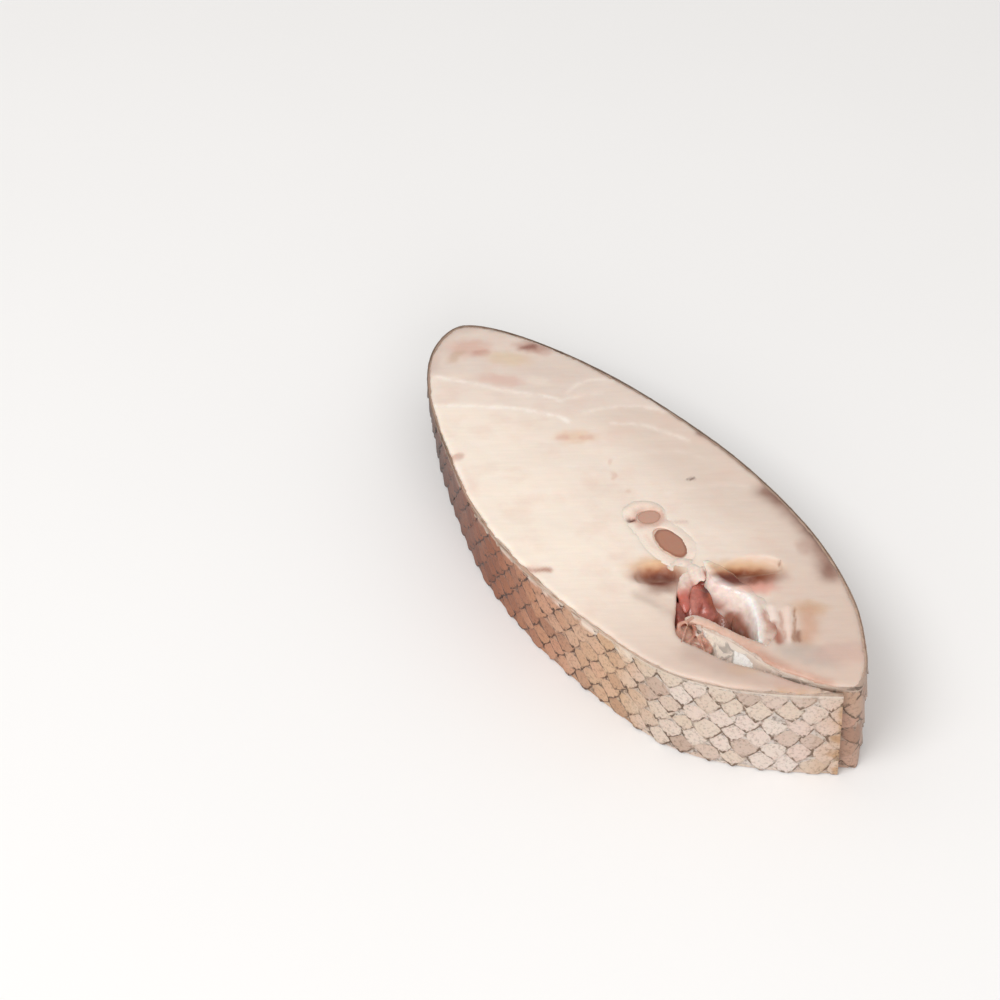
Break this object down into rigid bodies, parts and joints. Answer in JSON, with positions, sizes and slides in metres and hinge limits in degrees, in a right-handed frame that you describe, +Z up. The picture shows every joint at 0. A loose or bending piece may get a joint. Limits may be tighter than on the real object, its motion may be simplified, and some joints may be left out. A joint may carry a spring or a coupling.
{
  "type": "corvina steak",
  "caption": "Raw corvina steak: a thick crosswise slice of fish with a smooth pale cut face, scaly skin, a cut backbone and a gutted belly with folded flaps.",
  "frame": {"origin": "centre of the bottom of the part's bounding box, on the lower cut face", "axes": "+Z up, from the tail-side cut face it lies on to the head-side cut face; +Y towards the fish's back, -Y towards its belly; X from flank to flank"},
  "size_m": [0.0796, 0.1862, 0.0347],
  "materials": {
    "flesh": "wet raw white fish",
    "skin": "wet overlapping scales",
    "vertebra": "fresh cut bone",
    "marrow": "wet cartilage",
    "spinal_cord": "wet soft tissue",
    "kidney": "wet dark blood",
    "cavity_lining": "shiny wet membrane"
  },
  "bodies": {
    "root": {"flesh": "flesh", "skin": "skin", "vertebra": "vertebra", "marrow": "marrow", "spinal_cord": "spinal_cord", "kidney": "kidney", "cavity_lining": "cavity_lining"}
  },
  "joints": []
}
